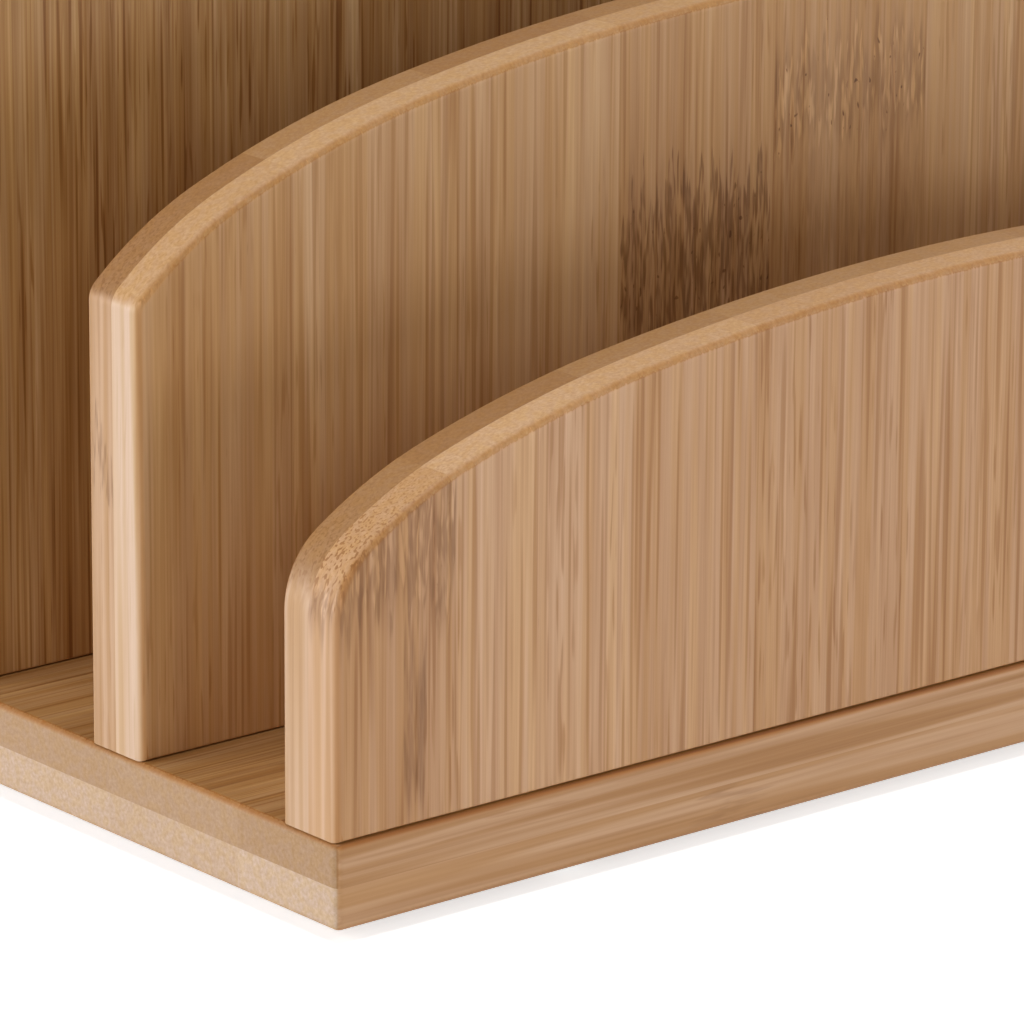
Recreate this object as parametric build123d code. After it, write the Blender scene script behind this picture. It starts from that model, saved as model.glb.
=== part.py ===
from build123d import *
from math import asin, cos, sin
import os

# Bamboo letter rack: three arched panels of rising height stand on one base board, with a slot for letters
# between each two. Every board is glued from two plies. Each panel is screwed on from under the base.
# Millimetres, +X along the length, the front of the rack towards -Y, +Z up.
# The origin lies on the desk, under the middle of the base.

# Boards
LENGTH = 200.0          # base board, end to end
BASE_PLY = 5.0          # thickness of each of the base's two plies
PANEL_PLY = 4.8         # thickness of each of a panel's two plies
SLOT_WIDTH = 25.3       # clear space for letters between two panels
FACE_SETBACK = 0.4      # outer panel faces stand this far inside the base's front and rear edges
END_SETBACK = 0.2       # panel ends stand this far inside the base's ends

# Panel outlines: a straight side, a round shoulder, then a crest that follows an ellipse up to the crown
FRONT_SPRING = 25.4     # level of the ellipse's middle over the base
FRONT_RISE = 24.4       # from that level up to the crown
FRONT_OVERRUN = 0.1     # the ellipse is this much wider than the panel at each end
FRONT_SHOULDER = 4.5    # the shoulder starts this far in from the panel's end
MIDDLE_SPRING = 45.4
MIDDLE_RISE = 30.3
MIDDLE_OVERRUN = 2.8
MIDDLE_SHOULDER = 0.9
BACK_SPRING = 65.5
BACK_RISE = 36.0
BACK_OVERRUN = MIDDLE_OVERRUN
BACK_SHOULDER = MIDDLE_SHOULDER
CREST_ARCS = 3          # tangent arcs that follow the ellipse from the crown to each shoulder
CREST_CROWDING = 0.7    # under 1, the arcs shorten towards the shoulder, where the ellipse bends most

# Sanded edges
PANEL_BEVEL = 0.8       # round the outer face of each panel ply
BASE_EASE = 0.8         # radius round the top and the underside of the base
CORNER_EXTRA = 0.2      # the base's upright corners are rounder than that by this much

# Countersunk wood screws
SCREW_LENGTH = 25.0
SHANK_RADIUS = 1.5
HEAD_OVERHANG = 1.5     # the head is wider than the shank by this much all round, under a 45 degree cone
HEAD_RECESS = 0.4       # the head lies this far inside the underside of the base
TIP_LENGTH = 4.0
CROSS_SPAN = 3.4        # cross slot in the head
CROSS_WIDTH = 0.8
CROSS_DEPTH = 1.2
SCREW_INSET = 35.0      # screw axis from the end of the panel
SHANK_CLEARANCE = 0.2   # all round the shank, through the base
PILOT_CLEARANCE = 0.05  # all round the shank, in the panel's glue line
PILOT_SPARE = 1.5       # pilot hole runs on past the tip
SEAT_CLEARANCE = 0.05   # all round the head, in its countersink

# Feet
FOOT_RADIUS = 5.0
FOOT_HEIGHT = 1.5
FOOT_BEVEL = 0.3        # bevel round the rim that meets the desk
FOOT_INSET = 12.0       # centre of a foot from the base's two nearest edges

# Places worked out from the sizes above
panel_thickness = 2 * PANEL_PLY
panel_pitch = panel_thickness + SLOT_WIDTH
depth = 2 * panel_pitch + panel_thickness + 2 * FACE_SETBACK
panel_length = LENGTH - 2 * END_SETBACK
base_bottom = FOOT_HEIGHT
base_glue_line = base_bottom + BASE_PLY
base_top = base_glue_line + BASE_PLY
head_level = base_bottom + HEAD_RECESS
screw_end = panel_length / 2 - SCREW_INSET
screw_x = (-screw_end, screw_end)
panel_places = {"front": -panel_pitch, "middle": 0.0, "back": panel_pitch}
panel_crests = {
    "front": (FRONT_SPRING, FRONT_RISE, FRONT_OVERRUN, FRONT_SHOULDER),
    "middle": (MIDDLE_SPRING, MIDDLE_RISE, MIDDLE_OVERRUN, MIDDLE_SHOULDER),
    "back": (BACK_SPRING, BACK_RISE, BACK_OVERRUN, BACK_SHOULDER),
}
FROM_BELOW = (Align.CENTER, Align.CENTER, Align.MIN)


def screw(x, y):
    """One countersunk screw, head down: head, shank and point turned in one, and a cross slot."""
    half_section = Polyline(
        (0, 0),
        (SHANK_RADIUS + HEAD_OVERHANG, 0),
        (SHANK_RADIUS, HEAD_OVERHANG),
        (SHANK_RADIUS, SCREW_LENGTH - TIP_LENGTH),
        (0, SCREW_LENGTH),
        close=True,
    )
    blank = revolve(Plane.XZ * make_face(half_section), Axis.Z)
    slot = Box(CROSS_SPAN, CROSS_WIDTH, CROSS_DEPTH, align=FROM_BELOW)
    return Pos(x, y, head_level) * (blank - slot - Rot(0, 0, 90) * slot)


def screw_passages(y):
    """What the screws of one panel need in the base: a countersink and a clearance hole for each."""
    narrow = SHANK_RADIUS + SEAT_CLEARANCE
    seat_depth = HEAD_RECESS + HEAD_OVERHANG
    seat = Cone(narrow + seat_depth, narrow, seat_depth, align=FROM_BELOW)
    hole = Cylinder(SHANK_RADIUS + SHANK_CLEARANCE, 2 * BASE_PLY, align=FROM_BELOW)
    return [Pos(x, y, base_bottom) * (seat + hole) for x in screw_x]


def pilot_holes(y):
    """Round holes up the glue line of a panel, half in each ply."""
    deep = head_level + SCREW_LENGTH + PILOT_SPARE - base_top
    hole = Cylinder(SHANK_RADIUS + PILOT_CLEARANCE, deep, align=FROM_BELOW)
    return [Pos(x, y, base_top) * hole for x in screw_x]


def base_ply(level, outer_edges):
    """One layer of the base board, with its outer edges eased and its glued face left sharp."""
    corner_radius = BASE_EASE + CORNER_EXTRA
    blank = extrude(Pos(0, 0, level) * RectangleRounded(LENGTH, depth, corner_radius), BASE_PLY)
    eased = fillet(blank.edges().group_by(Axis.Z)[outer_edges], BASE_EASE)
    for y in panel_places.values():
        eased = eased - screw_passages(y)
    return eased


def crest_arcs(spring, rise, overrun, shoulder):
    """The crest's right half: tangent arcs through points of an ellipse, from the crown outwards, then
    one arc for the shoulder, which runs on from the crest and into the straight side."""
    half_width = panel_length / 2 + overrun
    last_turn = asin((panel_length / 2 - shoulder) / half_width)
    turns = [last_turn * (count / CREST_ARCS) ** CREST_CROWDING for count in range(CREST_ARCS + 1)]
    points = [Vector(half_width * sin(turn), spring + rise * cos(turn)) for turn in turns]
    heading = Vector(1, 0)
    arcs = []
    for start, end in zip(points, points[1:]):
        arcs.append(TangentArc(start, end, tangent=heading))
        heading = arcs[-1] % 1
    run_on = shoulder / heading.X
    square_corner = points[-1] + heading * run_on
    arcs.append(TangentArc(points[-1], square_corner - Vector(0, run_on), tangent=heading))
    return arcs


def panel_outline(name):
    """Straight sides under the crest of this panel, with square feet."""
    arcs = crest_arcs(*panel_crests[name])
    under_crest = Polyline(arcs[-1] @ 1, (panel_length / 2, 0), (0, 0), arcs[0] @ 0)
    right = make_face([*arcs, under_crest])
    return right + mirror(right, Plane.YZ)


def panel_ply(name, towards, outer_edges):
    """One layer of a panel, from the glue line to its outer face, whose edges are bevelled."""
    y = panel_places[name]
    outline = Pos(0, y, base_top) * (Plane.XZ * panel_outline(name))
    blank = extrude(outline, PANEL_PLY, dir=(0, towards, 0))
    bevelled = chamfer(blank.edges().group_by(Axis.Y)[outer_edges], PANEL_BEVEL)
    return bevelled - pilot_holes(y)


def foot(x, y):
    """Round non-slip pad stuck to the underside, with a bevelled rim on the desk."""
    disc = Pos(x, y, 0) * Cylinder(FOOT_RADIUS, FOOT_HEIGHT, align=FROM_BELOW)
    return chamfer(disc.edges().sort_by(Axis.Z)[0], FOOT_BEVEL)


pieces = {
    "base_lower_ply": base_ply(base_bottom, 0),
    "base_upper_ply": base_ply(base_glue_line, -1),
}
for name, y in panel_places.items():
    pieces[f"{name}_panel_face_ply"] = panel_ply(name, -1, 0)
    pieces[f"{name}_panel_rear_ply"] = panel_ply(name, 1, -1)
    pieces[f"{name}_panel_screws"] = Compound(children=[screw(x, y) for x in screw_x])
for across, x in {"left": FOOT_INSET - LENGTH / 2, "right": LENGTH / 2 - FOOT_INSET}.items():
    for along, y in {"front": FOOT_INSET - depth / 2, "rear": depth / 2 - FOOT_INSET}.items():
        pieces[f"foot_{along}_{across}"] = foot(x, y)

os.makedirs("parts", exist_ok=True)
for name, piece in pieces.items():
    export_step(piece, f"parts/{name}.step")
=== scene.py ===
# Bamboo letter rack: a base board, three arched panels of rising height, the screws that hold them and the
# pads that it stands on. Metres, +X along the rack, its front towards -Y, +Z up.
from math import pi, radians

import bmesh
import bpy
import numpy as np
from mathutils import Matrix, Vector


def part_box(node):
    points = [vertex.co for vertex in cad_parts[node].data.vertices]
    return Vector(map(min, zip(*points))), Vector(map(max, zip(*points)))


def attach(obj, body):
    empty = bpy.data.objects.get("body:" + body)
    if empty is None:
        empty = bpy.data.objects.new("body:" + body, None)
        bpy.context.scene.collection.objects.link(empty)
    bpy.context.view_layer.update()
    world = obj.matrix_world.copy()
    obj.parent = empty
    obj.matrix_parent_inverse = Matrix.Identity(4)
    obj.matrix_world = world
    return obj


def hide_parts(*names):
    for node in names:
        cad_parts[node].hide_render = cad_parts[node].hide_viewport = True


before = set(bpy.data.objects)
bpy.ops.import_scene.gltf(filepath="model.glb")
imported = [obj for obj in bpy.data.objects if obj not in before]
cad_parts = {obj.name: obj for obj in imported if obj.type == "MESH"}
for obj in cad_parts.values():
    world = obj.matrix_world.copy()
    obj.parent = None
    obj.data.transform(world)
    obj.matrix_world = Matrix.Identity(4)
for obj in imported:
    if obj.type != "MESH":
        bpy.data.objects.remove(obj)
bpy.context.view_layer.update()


# Base board
# Two plies of bamboo strips, glued face to face with the grain along the rack, sawn to size and sanded
# round at the edges. The lower ply is countersunk from below for the screws that hold the panels.
MM = 0.001
BASE_EASE = 0.8 * MM
BASE_CORNER = 1.0 * MM
EASE_STEPS = 8
CORNER_STEPS = 4
SEAT_NARROW = 1.55 * MM
SEAT_DEPTH = 1.9 * MM
SEAT_RIM = SEAT_NARROW + SEAT_DEPTH
SCREW_X = 64.8 * MM
PANEL_PITCH = 34.9 * MM
CELLS_ALONG = (6, 8, 24, 8, 6)
CELLS_ACROSS = (8, 6, 8, 6, 8)
MERGE_DIGITS = 9
WELD_GRAIN = 1e-7
SHARP_FROM = radians(30)


def weld(name, grids):
    """Mesh of several grids of points, each with four neighbours to a face. Points of all the grids that
    coincide become one, and a face with two equal corners becomes a triangle."""
    points = np.concatenate([grid.reshape(-1, 3) for grid in grids])
    quads = []
    first = 0
    for grid in grids:
        rows, columns = grid.shape[:2]
        index = first + np.arange(rows * columns).reshape(rows, columns)
        corners = [index[:-1, :-1], index[:-1, 1:], index[1:, 1:], index[1:, :-1]]
        quads.append(np.stack(corners, axis=-1).reshape(-1, 4))
        first += rows * columns
    cells = np.round(points / WELD_GRAIN).astype(np.int64)
    _, kept, joined = np.unique(cells, axis=0, return_index=True, return_inverse=True)
    quads = joined.reshape(-1)[np.concatenate(quads)]
    same = quads == np.roll(quads, -1, axis=1)
    whole = quads[~same.any(axis=1)]
    once = same.sum(axis=1) == 1
    after = same[once].argmax(axis=1)[:, None] + np.arange(1, 4)
    triangles = np.take_along_axis(quads[once], after % 4, axis=1)
    mesh = bpy.data.meshes.new(name)
    mesh.from_pydata(points[kept].tolist(), [], whole.tolist() + triangles.tolist())
    shell = bmesh.new()
    shell.from_mesh(mesh)
    bmesh.ops.recalc_face_normals(shell, faces=shell.faces)
    shell.to_mesh(mesh)
    shell.free()
    mesh.shade_smooth()
    mesh.set_sharp_from_angle(angle=SHARP_FROM)
    return mesh


def fit_piece(name, grids, material, node):
    """Puts a welded mesh in the scene with its material, on the body, in place of its solid."""
    piece = bpy.data.objects.new(name, weld(name, grids))
    piece.data.materials.append(material)
    bpy.context.scene.collection.objects.link(piece)
    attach(piece, "root")
    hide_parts(node)


def fill_borders(south, east, north, west):
    """Grid inside four borders: the blend from west to east plus the blend from south to north, minus the
    blend of the four corners."""
    u = np.linspace(0, 1, len(south))[None, :, None]
    v = np.linspace(0, 1, len(west))[:, None, None]
    across = (1 - u) * west[:, None] + u * east[:, None]
    upwards = (1 - v) * south[None] + v * north[None]
    low = (1 - u) * south[0] + u * south[-1]
    high = (1 - u) * north[0] + u * north[-1]
    return across + upwards - (1 - v) * low - v * high


def loop(south, east, north, west):
    """Closed line round four borders: out along the first two and back along the others."""
    return np.concatenate([south, east[1:], north[-2::-1], west[-2::-1]])


def eased_profile(thickness, ease, margin):
    """Inset and height of each ring round a ply: up from the glued face, over a quarter circle, and a little
    way in over the outer face."""
    turn = np.linspace(0, pi / 2, EASE_STEPS + 1)
    inset = np.concatenate([[0, 0], ease * (1 - np.cos(turn)), [ease + margin]])
    bend = thickness - ease * (1 - np.sin(turn))
    height = np.concatenate([[0, thickness - ease - margin], bend, [thickness]])
    return inset, height


def ply_wall(outline, inset, level, stand):
    """A profile carried round an outline: one ring for each inset and level."""
    return np.stack([stand(loop(*outline(inwards)), height) for inwards, height in zip(inset, level)])


def ply_face(outline, inset, level, stand):
    """The flat face inside an outline, as a grid between its four borders."""
    return fill_borders(*(stand(border, level) for border in outline(inset)))


base_low, base_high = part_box("base_lower_ply")
glue_level = base_high.z
base_half = np.array([base_high.x, base_high.y])
seat_cell = base_half[1] - BASE_CORNER - PANEL_PITCH
x_breaks = np.array([-base_half[0] + BASE_CORNER, -SCREW_X - seat_cell, -SCREW_X + seat_cell])
y_breaks = np.array([-base_half[1] + BASE_CORNER, -PANEL_PITCH + seat_cell, -seat_cell])
x_breaks = np.concatenate([x_breaks, -x_breaks[::-1]])
y_breaks = np.concatenate([y_breaks, -y_breaks[::-1]])
x_spans = [np.linspace(a, b, n + 1) for a, b, n in zip(x_breaks, x_breaks[1:], CELLS_ALONG)]
y_spans = [np.linspace(a, b, n + 1) for a, b, n in zip(y_breaks, y_breaks[1:], CELLS_ACROSS)]


def base_outline(inset):
    """Borders of the base in plan: a rectangle with round corners, each border from the middle of one corner
    to the middle of the next, all moved inwards by the inset."""
    turn = np.linspace(1.25 * pi, 1.5 * pi, CORNER_STEPS + 1)
    bend = (BASE_CORNER - inset) * np.column_stack([np.cos(turn), np.sin(turn)])
    corner = BASE_CORNER - base_half
    x = np.unique(np.concatenate(x_spans).round(MERGE_DIGITS))[1:-1]
    y = np.unique(np.concatenate(y_spans).round(MERGE_DIGITS))[1:-1]
    start = corner + bend
    straight = np.column_stack([x, np.full(len(x), inset - base_half[1])])
    south = np.concatenate([start, straight, start[::-1] * (-1, 1)])
    start = corner + bend[:, ::-1]
    straight = np.column_stack([np.full(len(y), inset - base_half[0]), y])
    west = np.concatenate([start, straight, start[::-1] * (1, -1)])
    return south, west * (-1, 1), south * (1, -1), west


def lie(points, level):
    """Plan points at a height."""
    return np.column_stack([points, np.full(len(points), level)])


def screw_seat(x, y):
    """Underside round one screw: from a square cell in to the rim, up the countersink's cone to its narrow
    end, and closed there, all along the same rays from the screw's axis."""
    south = np.column_stack([x, np.full(len(x), y[0])])
    east = np.column_stack([np.full(len(y), x[-1]), y])
    square = loop(south, east, south + (0, y[-1] - y[0]), east - (x[-1] - x[0], 0))
    centre = np.array([x.mean(), y.mean()])
    ray = (square - centre) / np.linalg.norm(square - centre, axis=1)[:, None]
    rings = [(square, 0), (centre + SEAT_RIM * ray, 0)]
    rings += [(centre + SEAT_NARROW * ray, SEAT_DEPTH), (centre + 0 * ray, SEAT_DEPTH)]
    return np.stack([lie(points, base_low.z + up) for points, up in rings])


def underside():
    """The lower face in rectangular cells, those under a screw with its countersink."""
    cells = []
    for column, x in enumerate(x_spans):
        for row, y in enumerate(y_spans):
            under_screw = column % 2 == 1 and row % 2 == 0
            if under_screw:
                cells.append(screw_seat(x, y))
            else:
                across, along = np.meshgrid(x, y)
                cells.append(np.stack([across, along, np.full_like(across, base_low.z)], axis=-1))
    return cells


def feed(tree, socket, value):
    """Gives an input its value, or links it to the output that feeds it."""
    if isinstance(value, bpy.types.NodeSocket):
        tree.links.new(value, socket)
    else:
        socket.default_value = value


def feed_all(tree, node, sockets):
    """Feeds several inputs of a node, given by name or number."""
    for socket, value in sockets.items():
        feed(tree, node.inputs[socket], value)


def put(tree, kind, sockets, **settings):
    """Adds a shader node with its settings and inputs, and gives the node."""
    made = tree.nodes.new(kind)
    for setting, value in settings.items():
        setattr(made, setting, value)
    feed_all(tree, made, sockets)
    return made


def calc(tree, operation, *values):
    """Result of a Math node."""
    return put(tree, "ShaderNodeMath", dict(enumerate(values)), operation=operation).outputs[0]


def vector(tree, operation, *values):
    """Result of a Vector Math node."""
    return put(tree, "ShaderNodeVectorMath", dict(enumerate(values)), operation=operation).outputs["Vector"]


def dot(tree, first, second):
    """Scalar product."""
    return put(tree, "ShaderNodeVectorMath", {0: first, 1: second}, operation="DOT_PRODUCT").outputs["Value"]


def rest_of(tree, share):
    """What a share leaves of 1."""
    return calc(tree, "SUBTRACT", 1.0, share)


def halfway(tree, share):
    """1 where a share is a half, down to 0 where it is 0 or 1: four times the share times its rest."""
    return calc(tree, "MULTIPLY", calc(tree, "MULTIPLY", share, rest_of(tree, share)), 4.0)


def step(tree, value, low, high):
    """Smooth step from 0 at low to 1 at high. With low over high it falls."""
    sockets = {"Value": value, "From Min": low, "From Max": high, "To Min": 0.0, "To Max": 1.0}
    return put(tree, "ShaderNodeMapRange", sockets, interpolation_type="SMOOTHSTEP").outputs["Result"]


def span(tree, value, low, high):
    """Stretches 0 to 1 to the range from low to high."""
    sockets = {"Value": value, "To Min": low, "To Max": high}
    return put(tree, "ShaderNodeMapRange", sockets).outputs["Result"]


def between(tree, share, first, second):
    """Value on the way from one to another by a share. Sockets 2 and 3 of a Mix node are its two values."""
    return put(tree, "ShaderNodeMix", {0: share, 2: first, 3: second}).outputs[0]


def paint(tree, share, under, over, mode="MIX"):
    """One colour laid over another by a share. Sockets 6 and 7 of a Mix node are its two colours."""
    sockets = {0: share, 6: under, 7: over}
    return put(tree, "ShaderNodeMix", sockets, data_type="RGBA", blend_type=mode).outputs[2]


def tint(red, green, blue):
    """Linear colour of the 8-bit colour that it is seen as: a straight foot, then a power of 2.4."""
    seen = np.array([red, green, blue]) / 255
    linear = np.where(seen <= 0.04045, seen / 12.92, ((seen + 0.055) / 1.055) ** 2.4)
    return (*linear.tolist(), 1.0)


SHIFT_WAY = (1.0, 1.7, 2.3)


def streaks(tree, place, pitch, run, shift, detail=3.0, roughness=0.6):
    """Cloudy value from 0 to 1 in a pattern that is pitch wide across the grain and run long with it, shifted
    so that no two patterns line up."""
    scale = (1 / pitch, 1 / pitch, 1 / run)
    offset = tuple(shift * way for way in SHIFT_WAY)
    drawn_out = vector(tree, "MULTIPLY_ADD", place, scale, offset)
    sockets = {"Vector": drawn_out, "Scale": 1.0, "Detail": detail, "Roughness": roughness}
    return put(tree, "ShaderNodeTexNoise", sockets).outputs["Fac"]


def millimetres(tree):
    """Place on the object in millimetres."""
    place = put(tree, "ShaderNodeTexCoord", {}).outputs["Object"]
    return put(tree, "ShaderNodeVectorMath", {0: place, "Scale": 1 / MM}, operation="SCALE").outputs["Vector"]


def new_group(name, inputs, outputs):
    """Empty node group with named sockets, given as names to default values, and its two ends."""
    kinds = {float: "NodeSocketFloat", tuple: "NodeSocketVector", list: "NodeSocketColor"}
    group = bpy.data.node_groups.new(name, "ShaderNodeTree")
    for in_out, sockets in (("INPUT", inputs), ("OUTPUT", outputs)):
        for socket, default in sockets.items():
            made = group.interface.new_socket(socket, in_out=in_out, socket_type=kinds[type(default)])
            made.default_value = default
    return group, group.nodes.new("NodeGroupInput").outputs, group.nodes.new("NodeGroupOutput").inputs


def new_material(name):
    """Material with nodes, and its tree."""
    material = bpy.data.materials.new(name)
    material.use_nodes = True
    return material, material.node_tree


def lay_on(tree, finish, bump, plain):
    """Links a finish's colour, roughness and height to the shader, and sets the shader's plain values."""
    normal = put(tree, "ShaderNodeBump", {"Height": finish["Height"], **bump}).outputs["Normal"]
    surface = {"Base Color": finish["Colour"], "Roughness": finish["Roughness"], "Normal": normal}
    feed_all(tree, tree.nodes["Principled BSDF"], {**surface, **plain})


# Where a point lies in its board, in millimetres across, through and along the strips, and how its surface
# is cut: Cut is 1 on end grain, Side is 1 on a strip's narrow side, Ease is 1 halfway round a sanded edge.
board_place, given, wanted = new_group(
    "board_place",
    {"Across": (1.0, 0.0, 0.0), "Through": (0.0, 1.0, 0.0), "Along": (0.0, 0.0, 1.0)},
    {"Place": (0.0, 0.0, 0.0), "Cut": 0.0, "Side": 0.0, "Ease": 0.0},
)
spot = millimetres(board_place)
parts = [dot(board_place, spot, given[axis]) for axis in ("Across", "Through", "Along")]
merged = put(board_place, "ShaderNodeCombineXYZ", dict(enumerate(parts))).outputs["Vector"]
feed(board_place, wanted["Place"], merged)
facing = put(board_place, "ShaderNodeNewGeometry", {}).outputs["Normal"]
for socket, axis in (("Cut", "Along"), ("Side", "Across")):
    feed(board_place, wanted[socket], calc(board_place, "ABSOLUTE", dot(board_place, facing, given[axis])))
flat = calc(board_place, "POWER", dot(board_place, facing, given["Through"]), 2.0)
feed(board_place, wanted["Ease"], halfway(board_place, flat))

# One knuckle of the stem across a strip: a ragged band with a brown stain, dark spindles, pale flecks and
# pits. Several are placed in a row, each adding to the masks that it is given. One such band on the middle
# panel, behind the front panel's crest, is partly painted shade.
MARKS = ("Stain", "Spindle", "Fleck", "Pit")
KNUCKLE_BORDER = 0.15
KNUCKLE_THINNING = 0.35
no_marks = {mark: 0.0 for mark in MARKS}
knuckle, given, wanted = new_group(
    "bamboo_knuckle",
    {"Place": (0.0, 0.0, 0.0), **no_marks, "Centre Across": 0.0, "Centre Along": 0.0, "Half Width": 11.0,
     "Half Height": 10.0, "Stained": 0.22, "Dark": 0.35, "Pale": 0.2, "Pitted": 0.3},
    no_marks,
)
place = given["Place"]
parts = put(knuckle, "ShaderNodeSeparateXYZ", {0: place}).outputs
off_across = calc(knuckle, "ABSOLUTE", calc(knuckle, "SUBTRACT", parts["X"], given["Centre Across"]))
past_side = calc(knuckle, "SUBTRACT", off_across, given["Half Width"])
inside = step(knuckle, past_side, KNUCKLE_BORDER, -KNUCKLE_BORDER)
ragged = span(knuckle, streaks(knuckle, place, pitch=0.8, run=30.0, shift=3.1, detail=1.0), -9.0, 9.0)
off_along = calc(knuckle, "ADD", calc(knuckle, "SUBTRACT", parts["Z"], given["Centre Along"]), ragged)
reach = calc(knuckle, "DIVIDE", calc(knuckle, "ABSOLUTE", off_along), given["Half Height"])
band = calc(knuckle, "MULTIPLY", step(knuckle, reach, 1.2, 0.5), inside)
thin = calc(knuckle, "MULTIPLY", rest_of(knuckle, band), KNUCKLE_THINNING)
lean = span(knuckle, streaks(knuckle, place, pitch=2.5, run=8.0, shift=2.2, detail=0.0), -0.3, 0.3)
leaning = vector(knuckle, "ADD", place, put(knuckle, "ShaderNodeCombineXYZ", {"X": lean}).outputs["Vector"])
smear = streaks(knuckle, leaning, pitch=1.0, run=7.0, shift=5.3, detail=1.0)
smear = span(knuckle, step(knuckle, smear, 0.3, 0.7), 0.4, 1.0)
spindles = streaks(knuckle, leaning, pitch=0.42, run=4.6, shift=7.7, detail=1.0)
flecks = streaks(knuckle, leaning, pitch=0.5, run=4.2, shift=9.4, detail=1.0)
pits = streaks(knuckle, leaning, pitch=0.6, run=1.0, shift=11.9, detail=0.0)
patterns = (
    ("Stain", calc(knuckle, "MULTIPLY", band, smear), "Stained"),
    ("Spindle", step(knuckle, calc(knuckle, "SUBTRACT", spindles, thin), 0.4, 0.62), "Dark"),
    ("Fleck", step(knuckle, calc(knuckle, "SUBTRACT", flecks, thin), 0.44, 0.68), "Pale"),
    ("Pit", step(knuckle, calc(knuckle, "SUBTRACT", pits, thin), 0.75, 0.83), "Pitted"),
)
for mark, pattern, amount in patterns:
    share = calc(knuckle, "MULTIPLY", pattern, given[amount])
    feed(knuckle, wanted[mark], calc(knuckle, "MAXIMUM", share, given[mark]))

# Lacquered bamboo: strips of their own tone side by side, each a ground colour seen through a depth of brown
# resin, which takes blue and green away faster than red. The depth gathers in bands, lines and dashes along
# the grain and in dots on the end grain. Sanded edges are stained amber, a knuckle's marks a greyer brown.
RESIN = (0.38, 0.235, 0.115, 1.0)
AMBER = (0.8, 0.57, 0.3, 1.0)
CHAR = (0.37, 0.29, 0.225, 1.0)
YELLOWED = (1.0, 0.97, 0.84, 1.0)
BLANK = [0.6, 0.4, 0.2, 1.0]
STRIP_SCATTER = (90.0, 60.0, 400.0)
SEAM_DEPTH = 0.15
SIDE_SHARE = 0.4
EASE_SHARE = 0.8
SPINDLE_SHARE = 0.8
PIT_SHARE = 1.2
FLECK_LEVEL = -0.2
END_DULLNESS = 0.08
bamboo, given, wanted = new_group(
    "bamboo",
    {"Place": (0.0, 0.0, 0.0), "Cut": 0.0, "Side": 0.0, "Ease": 0.0, **no_marks, "Strip Width": 22.0,
     "First Seam": 0.0, "Batch": 0.0, "Face": BLANK, "Flank": BLANK, "End": BLANK, "Bands": 1.0, "Lines": 0.3,
     "Dots": 0.2, "Worn": 0.2, "Corner": 0.0},
    {"Colour": BLANK, "Roughness": 0.4, "Height": 0.0},
)
across = put(bamboo, "ShaderNodeSeparateXYZ", {0: given["Place"]}).outputs["X"]
count = calc(bamboo, "DIVIDE", calc(bamboo, "SUBTRACT", across, given["First Seam"]), given["Strip Width"])
number = {"X": calc(bamboo, "FLOOR", count), "Y": given["Batch"]}
number = put(bamboo, "ShaderNodeCombineXYZ", number).outputs["Vector"]
chance = put(bamboo, "ShaderNodeTexWhiteNoise", {"Vector": number}, noise_dimensions="2D").outputs
fibre = vector(bamboo, "MULTIPLY_ADD", chance["Color"], STRIP_SCATTER, given["Place"])
from_seam = calc(bamboo, "MULTIPLY", calc(bamboo, "PINGPONG", count, 0.5), given["Strip Width"])
seam = step(bamboo, from_seam, 0.25, 0.08)

broad = streaks(bamboo, fibre, pitch=3.6, run=150.0, shift=1.3, detail=3.0, roughness=0.85)
fine = streaks(bamboo, fibre, pitch=0.32, run=30.0, shift=41.9, detail=1.0, roughness=0.8)
hue = step(bamboo, streaks(bamboo, fibre, pitch=1.1, run=60.0, shift=11.2, detail=0.0), 0.35, 0.65)
zone = step(bamboo, streaks(bamboo, fibre, pitch=5.0, run=60.0, shift=21.7, detail=0.0), 0.42, 0.7)
lines = step(bamboo, streaks(bamboo, fibre, pitch=0.6, run=38.0, shift=31.1, detail=0.0), 0.58, 0.76)
dashes = step(bamboo, streaks(bamboo, fibre, pitch=0.42, run=8.0, shift=51.3, detail=0.0), 0.6, 0.78)
bundles = step(bamboo, streaks(bamboo, fibre, pitch=0.32, run=30.0, shift=59.5, detail=0.0), 0.54, 0.68)
mottle = streaks(bamboo, fibre, pitch=0.45, run=0.9, shift=67.0, detail=2.0)

# Depth of resin on the faces, then on the narrow sides and over the seams.
grain = calc(bamboo, "ADD", span(bamboo, broad, -0.36, 0.36), span(bamboo, fine, -0.15, 0.15))
dark_lines = calc(bamboo, "MAXIMUM", lines, calc(bamboo, "MULTIPLY", dashes, zone))
depth = calc(bamboo, "MULTIPLY", grain, given["Bands"])
depth = calc(bamboo, "MULTIPLY_ADD", dark_lines, given["Lines"], depth)
side_depth = calc(bamboo, "MULTIPLY", span(bamboo, hue, -0.07, 0.07), given["Bands"])
side_depth = calc(bamboo, "MULTIPLY_ADD", depth, SIDE_SHARE, side_depth)
depth = between(bamboo, given["Side"], depth, side_depth)
depth = calc(bamboo, "MULTIPLY_ADD", seam, SEAM_DEPTH, depth)

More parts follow.
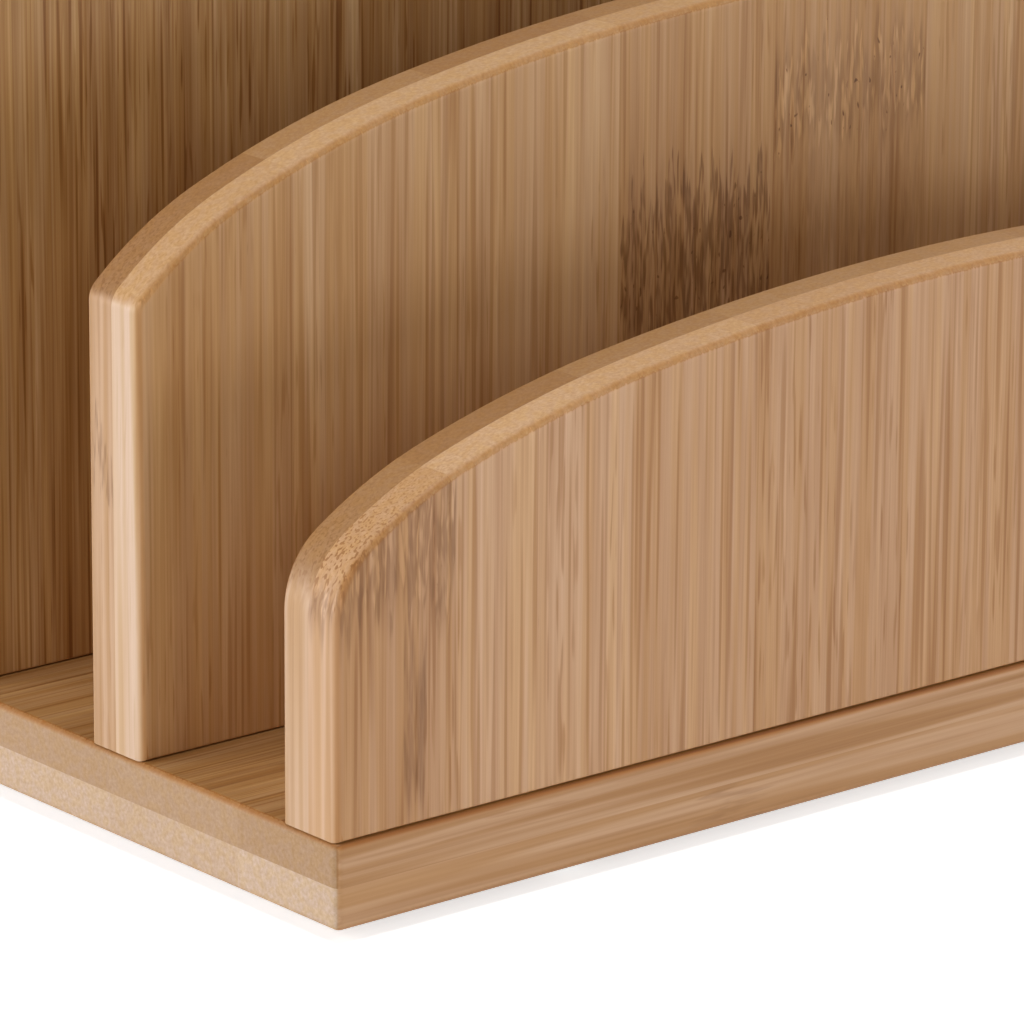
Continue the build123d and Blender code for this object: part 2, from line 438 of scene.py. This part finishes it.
# Depth on the end grain. Its border is torn along the sanded edges, and Corner draws it back towards the end
# where an upright corner is round.
slant = span(bamboo, step(bamboo, given["Side"], 0.25, 0.7), 0.1, 1.0)
dots = calc(bamboo, "MULTIPLY", calc(bamboo, "MULTIPLY", bundles, slant), given["Dots"])
end_depth = calc(bamboo, "ADD", dots, span(bamboo, mottle, -0.24, 0.24))
torn = calc(bamboo, "MULTIPLY", span(bamboo, fine, -0.7, 0.7), given["Ease"])
turned = calc(bamboo, "MULTIPLY", given["Side"], given["Corner"])
cut = calc(bamboo, "SUBTRACT", calc(bamboo, "ADD", given["Cut"], torn), turned)
cut = step(bamboo, cut, 0.15, 0.55)
depth = between(bamboo, cut, depth, end_depth)
depth = calc(bamboo, "ADD", depth, span(bamboo, chance["Value"], 0.1, -0.1))

# Amber on the sanded edges and on the rim of the end grain, and the brown of the knuckles' marks.
rim = calc(bamboo, "MULTIPLY", halfway(bamboo, cut), rest_of(bamboo, given["Side"]))
worn = calc(bamboo, "MAXIMUM", rim, calc(bamboo, "MULTIPLY", given["Ease"], EASE_SHARE))
worn = calc(bamboo, "MULTIPLY", worn, given["Worn"])
brown = calc(bamboo, "MULTIPLY_ADD", given["Spindle"], SPINDLE_SHARE, given["Stain"])
brown = between(bamboo, given["Fleck"], brown, FLECK_LEVEL)
brown = calc(bamboo, "MULTIPLY_ADD", given["Pit"], PIT_SHARE, brown)
brown = calc(bamboo, "MULTIPLY", brown, rest_of(bamboo, cut))

# Each layer of stuff is its colour to the power of its depth, laid over the ground colour.
colour = paint(bamboo, step(bamboo, given["Side"], 0.5, 0.85), given["Face"], given["Flank"])
colour = paint(bamboo, cut, colour, given["End"])
colour = paint(bamboo, hue, colour, YELLOWED, mode="MULTIPLY")
for stuff, layer in ((RESIN, depth), (AMBER, worn), (CHAR, brown)):
    shade = put(bamboo, "ShaderNodeGamma", {"Color": stuff, "Gamma": layer}).outputs["Color"]
    colour = paint(bamboo, 1.0, colour, shade, mode="MULTIPLY")
feed(bamboo, wanted["Colour"], colour)
dull = calc(bamboo, "MULTIPLY_ADD", cut, END_DULLNESS, span(bamboo, broad, 0.36, 0.52))
feed(bamboo, wanted["Roughness"], dull)
feed(bamboo, wanted["Height"], fine)

GRAIN_BUMP = {"Strength": 0.1, "Distance": 0.08 * MM}
LACQUER = {"Specular IOR Level": 0.25, "Coat Weight": 0.05, "Coat Roughness": 0.3}


def bamboo_ply(name, axes, values, knuckles=()):
    """Material of one ply: its place in the board, its knuckles in a row, then the bamboo with its values."""
    material, tree = new_material(name)
    cuts = put(tree, "ShaderNodeGroup", axes, node_tree=board_place).outputs
    masks = {}
    for marks in knuckles:
        sockets = {"Place": cuts["Place"], **masks, **marks}
        made = put(tree, "ShaderNodeGroup", sockets, node_tree=knuckle).outputs
        masks = {mark: made[mark] for mark in MARKS}
    sockets = {**masks, **{cut: cuts[cut] for cut in ("Place", "Cut", "Side", "Ease")}, **values}
    wood = put(tree, "ShaderNodeGroup", sockets, node_tree=bamboo).outputs
    lay_on(tree, wood, GRAIN_BUMP, LACQUER)
    return material


BASE_AXES = {"Across": (0, 1, 0), "Through": (0, 0, 1), "Along": (1, 0, 0)}
base_strips = {"Strip Width": 23.6, "First Seam": -22.5, "Corner": 0.5}
base_upper_finish = {
    "Face": tint(155, 114, 71), "Flank": tint(191, 148, 109), "End": tint(172, 139, 108),
    "Bands": 1.8, "Lines": 0.3, "Dots": 0.0, "Worn": 1.3, "Batch": 339.0,
}
base_lower_finish = {
    "Face": tint(181, 139, 98), "Flank": tint(192, 148, 108), "End": tint(193, 165, 141),
    "Bands": 1.2, "Lines": 0.25, "Dots": 0.0, "Worn": 0.4, "Batch": 1115.0,
}
base_lower_knuckle = {
    "Centre Across": -40.0, "Centre Along": -43.0, "Half Width": 6.0, "Half Height": 3.0, "Stained": 0.14,
    "Dark": 0.05, "Pale": 0.3, "Pitted": 0.0,
}
upper_bamboo = bamboo_ply("base_upper_bamboo", BASE_AXES, {**base_upper_finish, **base_strips})
lower_bamboo = bamboo_ply(
    "base_lower_bamboo", BASE_AXES, {**base_lower_finish, **base_strips}, [base_lower_knuckle]
)

ply_inset, ply_height = eased_profile(base_high.z - base_low.z, BASE_EASE, BASE_CORNER - BASE_EASE)
glued_face = ply_face(base_outline, 0, glue_level, lie)
upper_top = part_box("base_upper_ply")[1].z
upper_face = ply_face(base_outline, BASE_CORNER, upper_top, lie)
upper_wall = ply_wall(base_outline, ply_inset, glue_level + ply_height, lie)
lower_wall = ply_wall(base_outline, ply_inset, glue_level - ply_height, lie)
fit_piece("base_upper", [upper_wall, glued_face, upper_face], upper_bamboo, "base_upper_ply")
fit_piece("base_lower", [lower_wall, glued_face, *underside()], lower_bamboo, "base_lower_ply")


# Panels
# Three upright boards with arched tops, each of two plies of bamboo strips with the grain upright, sawn to
# shape after gluing and sanded round at the edges, then glued to the base and screwed from below.
PANEL_EASE = 1.0 * MM
PANEL_MARGIN = 0.3 * MM
FOOT_SHARE = 0.3
SIDE_STEPS = 14
ARC_STEPS = 16
CREST_ARCS = 3
CREST_CROWDING = 0.7
REAR_BATCH = 20.0
PANEL_AXES = {"Across": (1, 0, 0), "Through": (0, 1, 0), "Along": (0, 0, 1)}


def tangent_arc(start, end, heading):
    """Points and outward normals of the circle that leaves start along heading and passes through end, and
    its heading there: the centre lies square to the heading, at the chord's square over twice its offset."""
    towards = np.array([heading[1], -heading[0]])
    chord = end - start
    radius = chord @ chord / (2 * chord @ towards)
    centre = start + radius * towards
    first, last = start - centre, end - centre
    turn = np.linspace(np.arctan2(first[1], first[0]), np.arctan2(last[1], last[0]), ARC_STEPS + 1)
    normal = np.column_stack([np.cos(turn), np.sin(turn)])
    return centre + radius * normal, normal, np.array([last[1], -last[0]]) / radius


def panel_outline(half, foot, crest):
    """Borders of a panel as a function of the inset: a foot, straight sides, and on top a chain of tangent
    arcs through points of an ellipse with one more arc for each shoulder, moved inwards along the normals.
    The foot moves up by a share of the inset."""
    spring, rise, overrun, shoulder = crest
    wide = half + overrun
    last_turn = np.arcsin((half - shoulder) / wide)
    turns = last_turn * (np.arange(CREST_ARCS + 1) / CREST_ARCS) ** CREST_CROWDING
    knots = np.column_stack([wide * np.sin(turns), foot + spring + rise * np.cos(turns)])
    heading = np.array([1.0, 0.0])
    runs = []
    for start, end in zip(knots, knots[1:]):
        points, normals, heading = tangent_arc(start, end, heading)
        runs.append((points, normals))
    run_on = shoulder / heading[0]
    side_top = knots[-1] + run_on * heading - (0, run_on)
    runs.append(tangent_arc(knots[-1], side_top, heading)[:2])
    points = np.concatenate([runs[0][0][:1]] + [run[0][1:] for run in runs])
    normals = np.concatenate([runs[0][1][:1]] + [run[1][1:] for run in runs])
    mirror = np.array([-1, 1])
    points = np.concatenate([points[:0:-1] * mirror, points])
    normals = np.concatenate([normals[:0:-1] * mirror, normals])
    up = np.linspace(0, 1, SIDE_STEPS + 1)

    def borders(inset):
        north = points - inset * normals
        floor = foot + FOOT_SHARE * inset
        south = np.column_stack([north[:, 0], np.full(len(north), floor)])
        west = np.column_stack([np.full(len(up), north[0, 0]), floor + up * (north[0, 1] - floor)])
        return south, west * mirror, north, west

    return borders


def stand_up(points, level):
    """Points of an elevation at a depth."""
    return np.column_stack([points[:, 0], np.full(len(points), level), points[:, 1]])


def fit_panel_ply(name, node, crest, outwards, material):
    """One ply of a panel: its eased wall between the glued face and the outer face, cut level with the top of
    its solid, whose crest has flat facets a little inside the arc."""
    low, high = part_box(node)
    glued = low.y if outwards > 0 else high.y
    outline = panel_outline(high.x, low.z, crest)
    inset, height = eased_profile(high.y - low.y, PANEL_EASE, PANEL_MARGIN)
    level = glued + outwards * height
    grids = [ply_face(outline, inset[end], level[end], stand_up) for end in (0, -1)]
    grids.append(ply_wall(outline, inset, level, stand_up))
    under_top = np.array([np.inf, np.inf, high.z])
    fit_piece(name, [np.minimum(grid, under_top) for grid in grids], material, node)


# Spring, rise, overrun and shoulder of each crest.
crests = {
    "front": np.array([25.4, 24.4, 0.1, 4.5]) * MM,
    "middle": np.array([45.4, 30.3, 2.8, 0.9]) * MM,
    "back": np.array([65.5, 36.0, 2.8, 0.9]) * MM,
}
strips = {
    "front": {"Strip Width": 22.1, "First Seam": -39.9},
    "middle": {"Strip Width": 23.9, "First Seam": -30.7},
    "back": {"Strip Width": 23.2, "First Seam": -86.0},
}
# The batch number picks the chance tones and shifts of a ply's strips.
batches = {"front": 511.0, "middle": 892.0, "back": 12.0}
face_finish = {
    "front": {
        "Face": tint(197, 153, 115), "Flank": tint(202, 164, 132), "End": tint(188, 148, 109),
        "Bands": 1.0, "Lines": 0.27, "Dots": 0.5, "Worn": 0.6,
    },
    "middle": {
        "Face": tint(194, 150, 105), "Flank": tint(204, 172, 144), "End": tint(185, 146, 106),
        "Bands": 1.0, "Lines": 0.24, "Dots": 0.1, "Worn": 0.6,
    },
    "back": {
        "Face": tint(174, 131, 84), "Flank": tint(202, 164, 132), "End": tint(188, 148, 109),
        "Bands": 2.2, "Lines": 0.55, "Dots": 0.1, "Worn": 0.6,
    },
}
rear_finish = {
    "Face": tint(174, 133, 88), "Flank": tint(193, 156, 123), "End": tint(153, 113, 73),
    "Bands": 1.2, "Lines": 0.28, "Dots": 0.2, "Worn": 0.5,
}
face_knuckles = {
    "front": [
        {"Centre Across": -95.1, "Centre Along": 43.0, "Half Width": 11.8, "Half Height": 8.5,
         "Stained": 0.36, "Dark": 0.25, "Pale": 0.75, "Pitted": 0.1},
        {"Centre Across": -88.9, "Centre Along": 24.0, "Half Width": 1.6, "Half Height": 9.0,
         "Stained": 0.4, "Dark": 0.2, "Pale": 0.0, "Pitted": 0.0},
    ],
    "middle": [
        {"Centre Across": -18.9, "Centre Along": 56.0, "Half Width": 11.6, "Half Height": 12.0,
         "Stained": 0.22, "Dark": 0.75, "Pale": 0.3, "Pitted": 0.5},
        {"Centre Across": 5.1, "Centre Along": 74.0, "Half Width": 12.0, "Half Height": 6.5,
         "Stained": 0.25, "Dark": 0.15, "Pale": 0.9, "Pitted": 0.8},
        # A faint darker streaky band below the pale knuckle, behind the front panel's crest: partly the
        # strip's own streaks, partly painted shade from the front panel.
        {"Centre Across": 5.1, "Centre Along": 56.0, "Half Width": 12.0, "Half Height": 13.0,
         "Stained": 0.08, "Dark": 0.12, "Pale": 0.0, "Pitted": 0.0},
    ],
    "back": [
        {"Centre Across": 18.4, "Centre Along": 66.0, "Half Width": 11.6, "Half Height": 9.0,
         "Stained": 0.35, "Dark": 0.6, "Pale": 0.3, "Pitted": 0.3},
    ],
}
rear_knuckles = {
    "front": [{"Centre Across": 37.5, "Centre Along": 30.0}],
    "middle": [
        {"Centre Across": -42.6, "Centre Along": 48.0},
        {"Centre Across": -99.5, "Centre Along": 45.0, "Half Width": 2.5, "Half Height": 4.5,
         "Stained": 0.1, "Dark": 0.35, "Pale": 0.4, "Pitted": 0.0},
    ],
    "back": [
        {"Centre Across": 18.4, "Centre Along": 61.0},
        {"Centre Across": -51.2, "Centre Along": 33.0},
    ],
}
for panel, crest in crests.items():
    face = {**face_finish[panel], **strips[panel], "Batch": batches[panel]}
    rear = {**rear_finish, **strips[panel], "Batch": REAR_BATCH + batches[panel]}
    face = bamboo_ply(f"{panel}_face_bamboo", PANEL_AXES, face, face_knuckles[panel])
    rear = bamboo_ply(f"{panel}_rear_bamboo", PANEL_AXES, rear, rear_knuckles[panel])
    fit_panel_ply(f"{panel}_face", f"{panel}_panel_face_ply", crest, -1, face)
    fit_panel_ply(f"{panel}_rear", f"{panel}_panel_rear_ply", crest, 1, rear)


# Screws
# Six countersunk wood screws of zinc-plated steel, cold headed with a cross recess and a rolled thread. Two
# are driven up through the base into the foot of each panel, until their heads lie just inside the base.
HEAD_RADIUS = 3.0 * MM
HEAD_RIM = 0.12 * MM
SHANK_RADIUS = 1.5 * MM
CROSS_REACH = 1.7 * MM
CROSS_HALF = 0.4 * MM
CROSS_DEPTH = 1.2 * MM
CROSS_FLOOR = 0.6
ARM_END_STEPS = 3
ARM_SIDE_STEPS = 5
LEAST_SINE = 1e-6
THREAD_START = 9.0 * MM
THREAD_PITCH = 1.4 * MM
THREAD_DEPTH = 0.45 * MM
TIP_LENGTH = 4.0 * MM
RINGS_PER_TURN = 8


def screw_surface(length):
    """A screw along +Z from its head, as rings round its axis: the cross recess, whose outline is the nearer
    of an arm's end and an arm's side, the head's face, rim and cone, the shank, and a thread that swells with
    the cube of a raised cosine of the height in pitches less the turn, shrinking to nothing at the tip."""
    arm_corner = np.arctan2(CROSS_HALF, CROSS_REACH)
    arm_end = np.linspace(0, arm_corner, ARM_END_STEPS + 1)
    arm_side = np.linspace(arm_corner, pi / 4, ARM_SIDE_STEPS + 1)
    octant = np.concatenate([arm_end, arm_side[1:]])
    quarter = np.concatenate([octant, pi / 2 - octant[-2:0:-1]])
    turn = np.append((quarter + np.arange(4)[:, None] * pi / 2).reshape(-1), 2 * pi)
    off_arm = np.abs((turn + pi / 4) % (pi / 2) - pi / 4)
    cross = np.minimum(CROSS_REACH / np.cos(off_arm), CROSS_HALF / np.maximum(np.sin(off_arm), LEAST_SINE))
    whole = np.ones_like(turn)
    head = [(0 * cross, CROSS_DEPTH), (CROSS_FLOOR * cross, CROSS_DEPTH), (cross, 0)]
    head += [((HEAD_RADIUS - HEAD_RIM) * whole, 0), (HEAD_RADIUS * whole, HEAD_RIM)]
    head += [(SHANK_RADIUS * whole, HEAD_RIM + HEAD_RADIUS - SHANK_RADIUS)]
    rings = round((length - THREAD_START) / THREAD_PITCH * RINGS_PER_TURN)
    height = np.linspace(THREAD_START, length, rings + 1)
    ridge = ((1 + np.cos(2 * pi * height[:, None] / THREAD_PITCH - turn)) / 2) ** 3
    grown = np.clip((height - THREAD_START) / THREAD_PITCH, 0, 1)[:, None]
    left = np.sqrt(np.clip((length - height) / TIP_LENGTH, 0, 1))[:, None]
    thread = left * (SHANK_RADIUS + grown * THREAD_DEPTH * (ridge - 0.5))
    radius = np.concatenate([np.stack([ring for ring, _ in head]), thread])
    height = np.concatenate([[up for _, up in head], height])[:, None] * whole
    return np.stack([radius * np.cos(turn), radius * np.sin(turn), height], axis=-1)


# Clouds of one colour over another, with fine specks of a third that stand out as grit. The roughness
# follows the clouds. Each pattern's scale says how many of it fit in a millimetre.
SPECK_SHIFT = (0.96, 1.632, 2.208)
SPECK_DETAIL = 1.0
CLOUD_ROUGHNESS = 0.6
cloudy, given, wanted = new_group(
    "cloudy_finish",
    {"Ground": BLANK, "Cloud": BLANK, "Speck": BLANK, "Cloud Scale": 0.7, "Cloud Detail": 2.0,
     "Cloud Shift": (0.0, 0.0, 0.0), "Cloud From": 0.3, "Cloud To": 0.7, "Speck Scale": 7.0,
     "Speck From": 0.6, "Speck To": 0.8, "Smoothest": 0.3, "Roughest": 0.6},
    {"Colour": BLANK, "Roughness": 0.5, "Height": 0.0},
)
spot = millimetres(cloudy)
clouds = {"Vector": vector(cloudy, "ADD", spot, given["Cloud Shift"]), "Scale": given["Cloud Scale"],
          "Detail": given["Cloud Detail"], "Roughness": CLOUD_ROUGHNESS}
clouds = put(cloudy, "ShaderNodeTexNoise", clouds).outputs["Fac"]
specks = {"Vector": vector(cloudy, "ADD", spot, SPECK_SHIFT), "Scale": given["Speck Scale"],
          "Detail": SPECK_DETAIL, "Roughness": CLOUD_ROUGHNESS}
specks = put(cloudy, "ShaderNodeTexNoise", specks).outputs["Fac"]
cloud_share = step(cloudy, clouds, given["Cloud From"], given["Cloud To"])
speck_share = step(cloudy, specks, given["Speck From"], given["Speck To"])
colour = paint(cloudy, cloud_share, given["Ground"], given["Cloud"])
feed(cloudy, wanted["Colour"], paint(cloudy, speck_share, colour, given["Speck"]))
feed(cloudy, wanted["Roughness"], span(cloudy, clouds, given["Smoothest"], given["Roughest"]))
feed(cloudy, wanted["Height"], specks)


def cloudy_material(name, finish, bump, plain):
    """Material of a cloudy finish, with the bump of its grit and the plain values of its shader."""
    material, tree = new_material(name)
    lay_on(tree, put(tree, "ShaderNodeGroup", finish, node_tree=cloudy).outputs, bump, plain)
    return material


zinc_finish = {
    "Ground": tint(206, 208, 208), "Cloud": tint(176, 176, 168), "Speck": tint(132, 130, 122),
    "Cloud Scale": 1 / 1.6, "Cloud Detail": 3.0, "Cloud Shift": (8.0, 13.6, 18.4), "Cloud From": 0.35,
    "Cloud To": 0.65, "Speck Scale": 1 / 0.12, "Speck From": 0.62, "Speck To": 0.8, "Smoothest": 0.22,
    "Roughest": 0.5,
}
zinc_bump = {"Strength": 0.25, "Distance": 0.02 * MM}
zinc = cloudy_material("zinc_plated_steel", zinc_finish, zinc_bump, {"Metallic": 1.0})
for panel in crests:
    low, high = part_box(f"{panel}_panel_screws")
    screw = screw_surface(high.z - low.z)
    pair = [screw + (x, (low.y + high.y) / 2, low.z) for x in (low.x + HEAD_RADIUS, high.x - HEAD_RADIUS)]
    fit_piece(f"{panel}_screws", pair, zinc, f"{panel}_panel_screws")


# Pads
# Four discs of moulded rubber with a rounded lower rim and a shallow dish, stuck under the corners of the
# base to keep it off the desk.
PAD_ROUND = 0.4 * MM
PAD_DISH_RADIUS = 3.4 * MM
PAD_DISH_DEPTH = 0.25 * MM
PAD_DISH_STEPS = 6
PAD_TURNS = 64


def pad_surface(radius, height):
    """A disc turned round its axis: the dish as part of a parabola, a flat ring, a quarter circle at the rim,
    a straight wall, and the flat top that is stuck to the base."""
    dish = np.linspace(0, 1, PAD_DISH_STEPS + 1)
    bend = np.linspace(0, pi / 2, EASE_STEPS + 1)
    out = np.concatenate([PAD_DISH_RADIUS * dish, radius - PAD_ROUND * (1 - np.sin(bend)), [radius, 0]])
    up = np.concatenate([PAD_DISH_DEPTH * (1 - dish ** 2), PAD_ROUND * (1 - np.cos(bend)), [height, height]])
    turn = np.linspace(0, 2 * pi, PAD_TURNS + 1)
    out = out[:, None]
    return np.stack([out * np.cos(turn), out * np.sin(turn), up[:, None] + 0 * turn], axis=-1)


rubber_finish = {
    "Ground": tint(38, 35, 32), "Cloud": tint(52, 48, 44), "Speck": tint(92, 86, 78),
    "Cloud Scale": 1 / 1.5, "Cloud Detail": 2.0, "Cloud Shift": (4.5, 7.65, 10.35), "Cloud From": 0.3,
    "Cloud To": 0.7, "Speck Scale": 1 / 0.16, "Speck From": 0.68, "Speck To": 0.78, "Smoothest": 0.7,
    "Roughest": 0.95,
}
rubber = cloudy_material("pad_rubber", rubber_finish, {"Strength": 0.4, "Distance": 0.05 * MM}, {})
for corner in ("front_left", "front_right", "rear_left", "rear_right"):
    low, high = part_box(f"foot_{corner}")
    pad = pad_surface((high.x - low.x) / 2, high.z - low.z)
    pad = pad + ((low.x + high.x) / 2, (low.y + high.y) / 2, low.z)
    fit_piece(f"pad_{corner}", [pad], rubber, f"foot_{corner}")


# Studio
# A round white floor in a white room, under soft square lamps at both ends, behind, above and in front,
# which leave the slots between the panels in shade. The camera stands where the photograph was taken.
EYE = Vector((-537.411, -594.756, 262.182)) * MM
AZIMUTH = radians(39.7677)
ELEVATION = radians(16.7893)
ROLL = radians(0.3621)
FOCAL_PIXELS = 6960.2
IMAGE_HEIGHT = 1025
NEAREST = 0.01
WHITE = (1.0, 1.0, 1.0, 1.0)
PALE = (0.85, 0.85, 0.85, 1.0)
SKY = 0.005
FLOOR_RADIUS = 0.7
FLOOR_TURNS = 96
FLOOR_GLOW = 0.66
LAMP_AIM = Vector((0, 0, 0.05))


def shows_background(tree):
    """1 for the rays that show what lies behind the rack: from the camera, off gloss and through glass."""
    path = put(tree, "ShaderNodeLightPath", {}).outputs
    sent_on = calc(tree, "MAXIMUM", path["Is Glossy Ray"], path["Is Transmission Ray"])
    return calc(tree, "MAXIMUM", path["Is Camera Ray"], sent_on)


turn = np.linspace(0, 2 * pi, FLOOR_TURNS + 1)
rim = FLOOR_RADIUS * np.column_stack([np.cos(turn), np.sin(turn)])
floor_disc = np.stack([lie(0 * rim, 0), lie(rim, 0)])
floor = bpy.data.objects.new("floor", weld("floor", [floor_disc]))
bpy.context.scene.collection.objects.link(floor)
floor_white, tree = new_material("floor_white")
tree.nodes.clear()
matt = put(tree, "ShaderNodeBsdfDiffuse", {"Color": PALE}).outputs[0]
brightness = calc(tree, "MULTIPLY", shows_background(tree), FLOOR_GLOW)
glow = put(tree, "ShaderNodeEmission", {"Strength": brightness}).outputs[0]
both = put(tree, "ShaderNodeAddShader", {0: matt, 1: glow}).outputs[0]
put(tree, "ShaderNodeOutputMaterial", {"Surface": both})
floor.data.materials.append(floor_white)

world = bpy.data.worlds.new("studio")
bpy.context.scene.world = world
world.use_nodes = True
tree = world.node_tree
tree.nodes.clear()
brightness = span(tree, shows_background(tree), SKY, 1.0)
sky = put(tree, "ShaderNodeBackground", {"Color": WHITE, "Strength": brightness}).outputs[0]
put(tree, "ShaderNodeOutputWorld", {"Surface": sky})


def soft_lamp(name, place, size, power):
    """Square lamp at a place, turned to shine at the rack."""
    lamp = bpy.data.lights.new(name, "AREA")
    lamp.size = size
    lamp.energy = power
    holder = bpy.data.objects.new(name, lamp)
    facing = (LAMP_AIM - Vector(place)).to_track_quat("-Z", "Y")
    holder.matrix_world = Matrix.Translation(place) @ facing.to_matrix().to_4x4()
    bpy.context.scene.collection.objects.link(holder)


# Name, place and width in metres, and power in watts.
lamps = (
    ("left_box", (-1.0, 0.2, 0.3), 0.8, 3.1),
    ("left_rear_box", (-0.9, 0.6, 0.3), 0.6, 5.3),
    ("right_box", (1.0, 0.15, 0.3), 0.8, 5.8),
    ("rear_box", (0.4, 1.0, 0.4), 0.7, 5.4),
    ("front_left_box", (-0.52, -0.52, 0.14), 0.24, 0.8),
    ("front_right_box", (0.6, -0.9, 0.08), 0.26, 2.0),
    ("right_mid_box", (0.95, -0.6, 0.42), 0.3, 1.75),
    ("front_high_box", (0, -0.9, 0.8), 0.4, 1.26),
    ("top_box", (-0.1, 0, 1.2), 0.6, 8.25),
)
for lamp in lamps:
    soft_lamp(*lamp)

# The sensor's width spans the longer side of the image, which is its height.
view = bpy.data.cameras.new("camera")
view.lens = FOCAL_PIXELS * view.sensor_width / IMAGE_HEIGHT
view.clip_start = NEAREST
camera = bpy.data.objects.new("camera", view)
turned = Matrix.Rotation(-AZIMUTH, 4, "Z") @ Matrix.Rotation(pi / 2 - ELEVATION, 4, "X")
turned = turned @ Matrix.Rotation(ROLL, 4, "Z")
camera.matrix_world = Matrix.Translation(EYE) @ turned
bpy.context.scene.collection.objects.link(camera)
bpy.context.scene.camera = camera
bpy.context.scene.view_settings.view_transform = "Standard"
